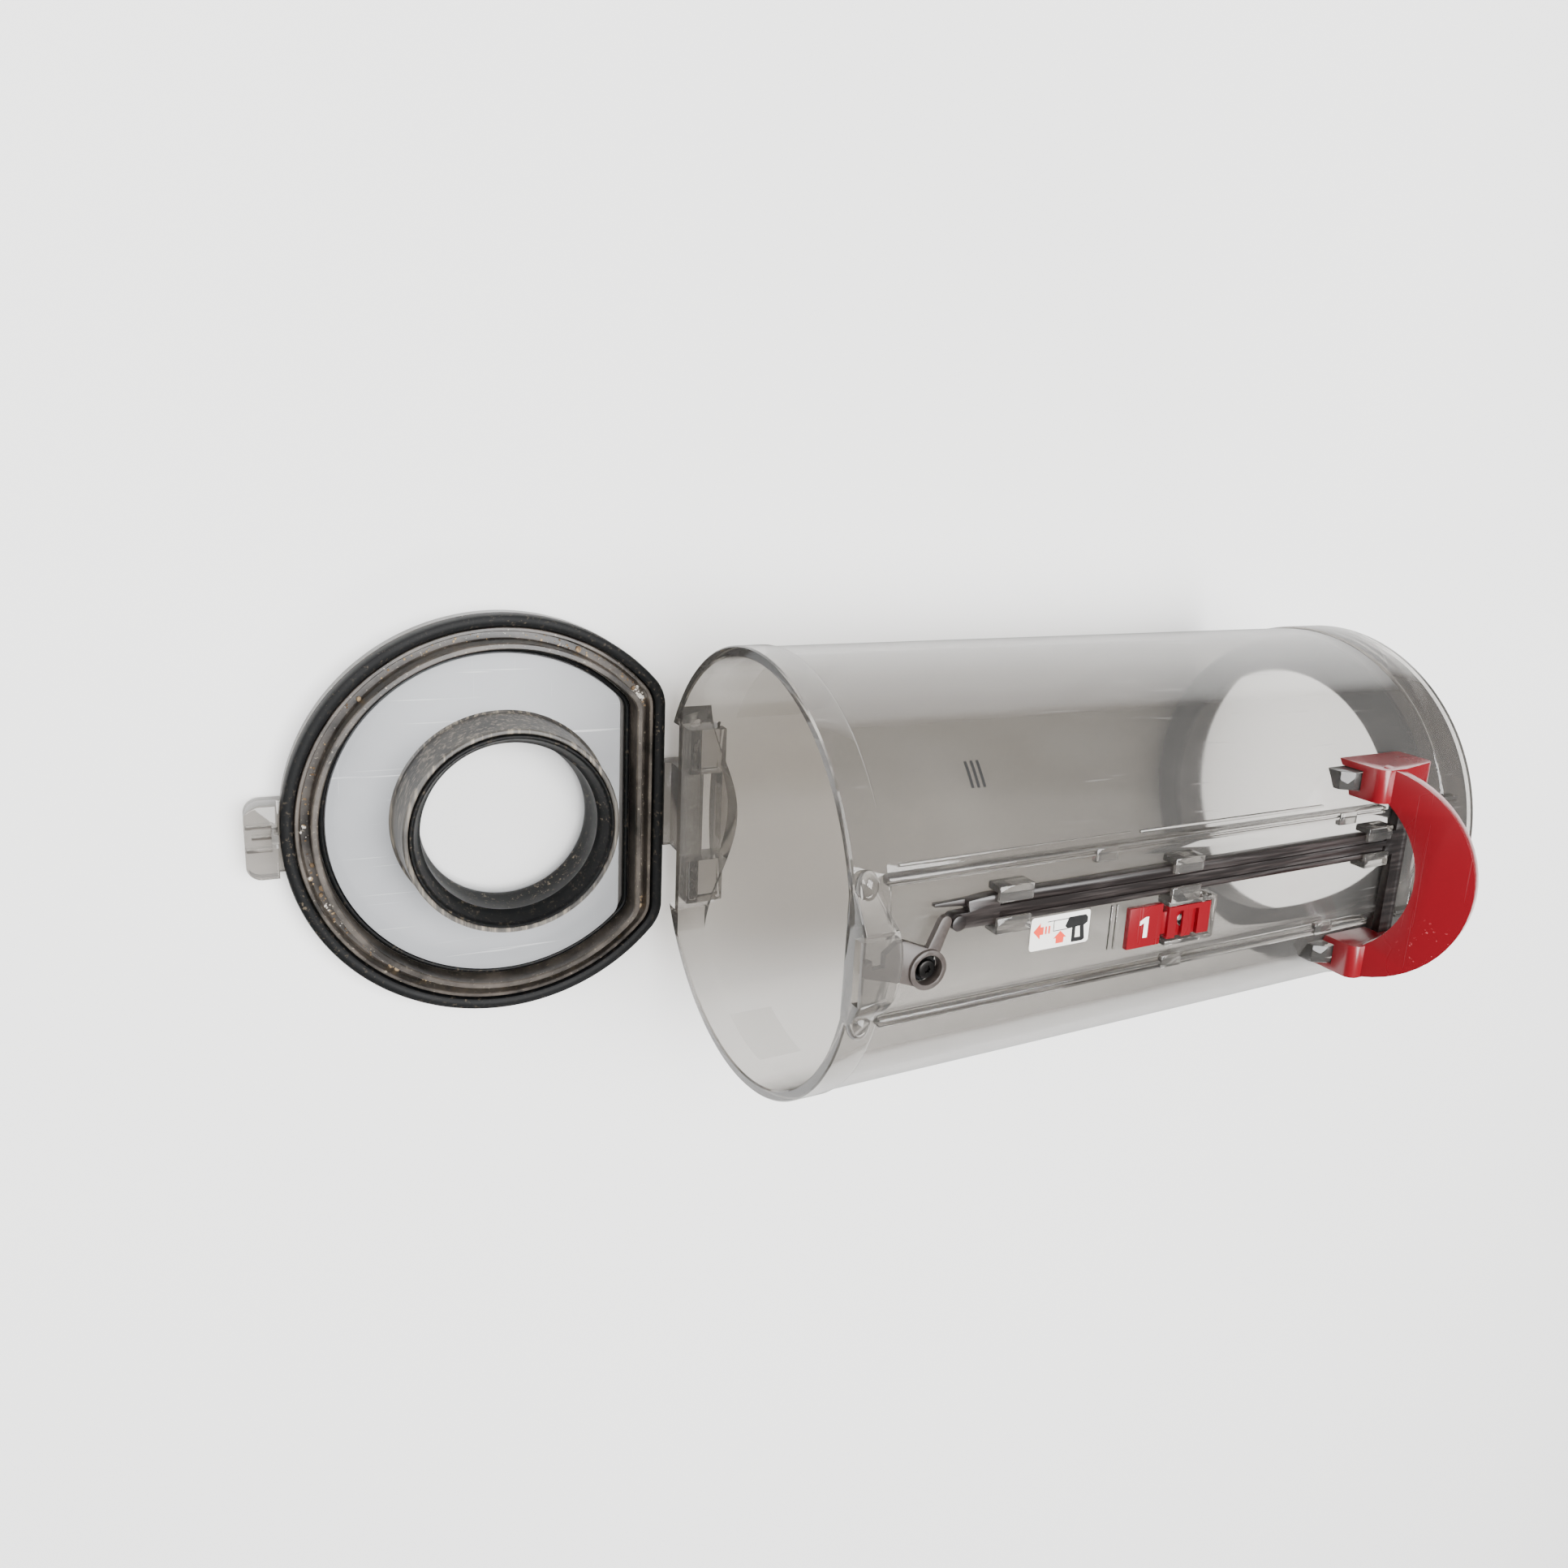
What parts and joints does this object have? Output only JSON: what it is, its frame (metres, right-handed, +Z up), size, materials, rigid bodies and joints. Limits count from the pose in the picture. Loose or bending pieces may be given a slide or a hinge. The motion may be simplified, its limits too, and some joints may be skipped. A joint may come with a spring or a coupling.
{
  "type": "vacuum cleaner dust bin",
  "caption": "Clear cylindrical dust bin of a cordless stick vacuum, lying down, with hinged base flap, release lever, push rod, catch and bin button.",
  "frame": {"origin": "centre of the footprint, on the floor the bin lies on", "axes": "+X from the open flap towards the far end of the bin, +Z up; the deck with the release lever faces up"},
  "size_m": [0.3342, 0.117, 0.1483],
  "materials": {
    "clear_plastic": "clear moulded, lightly scratched",
    "smoke_plastic": "smoky translucent",
    "red_plastic": "gloss red with fine metallic flake",
    "dark_plastic": "satin",
    "grey_plastic": "satin",
    "black_rubber": "matt",
    "steel": "drawn",
    "blackened_steel": "blackened",
    "label_film": "printed film"
  },
  "bodies": {
    "bin": {"bin_shell": "clear_plastic", "collar_ring": "smoke_plastic", "scraper_seal": "black_rubber", "hinge_pin": "steel", "catch_bush": "black_rubber", "catch_screw": "blackened_steel", "catch_spring": "steel", "button_pin": "steel", "button_spring": "steel", "instruction_label": "label_film"},
    "flap": {"flap_frame": "clear_plastic", "flap_floor": "clear_plastic", "floor_gasket": "black_rubber", "flap_seal": "black_rubber", "cup_seal": "black_rubber"},
    "release": {"release_rod": "dark_plastic", "release_lever": "red_plastic", "lever_screw_left": "blackened_steel", "lever_screw_right": "blackened_steel"},
    "catch": {"catch_lever": "grey_plastic"},
    "button": {"bin_button": "red_plastic"}
  },
  "joints": [
    {"name": "flap_hinge", "type": "hinge", "parent": "bin", "child": "flap", "pos_m": [-0.0479, 0, 0.017], "axis": [0, 1, 0], "range_deg": [-12, 92.98]},
    {"name": "release_slide", "type": "slide", "parent": "bin", "child": "release", "axis": [-0.9986, 0, 0.0521], "range_m": [0, 0.0035], "stiffness_N_per_m": 500, "springref_m": -0.004},
    {"name": "catch_pivot", "type": "hinge", "parent": "bin", "child": "catch", "pos_m": [-0.03073, -0.0044, 0.12726], "axis": [0.0521, 0, 0.9986], "range_deg": [0, 18]},
    {"name": "button_press", "type": "hinge", "parent": "bin", "child": "button", "pos_m": [0.05574, -0.005, 0.12244], "axis": [0, -1, 0], "range_deg": [0, 3], "stiffness_Nm_per_rad": 0.02, "springref_deg": -5.73, "deforming": ["button_spring"]}
  ],
  "couplings": [
    {"joint": "catch_pivot", "follows": "release_slide", "rad_per_m": 89.5}
  ]
}
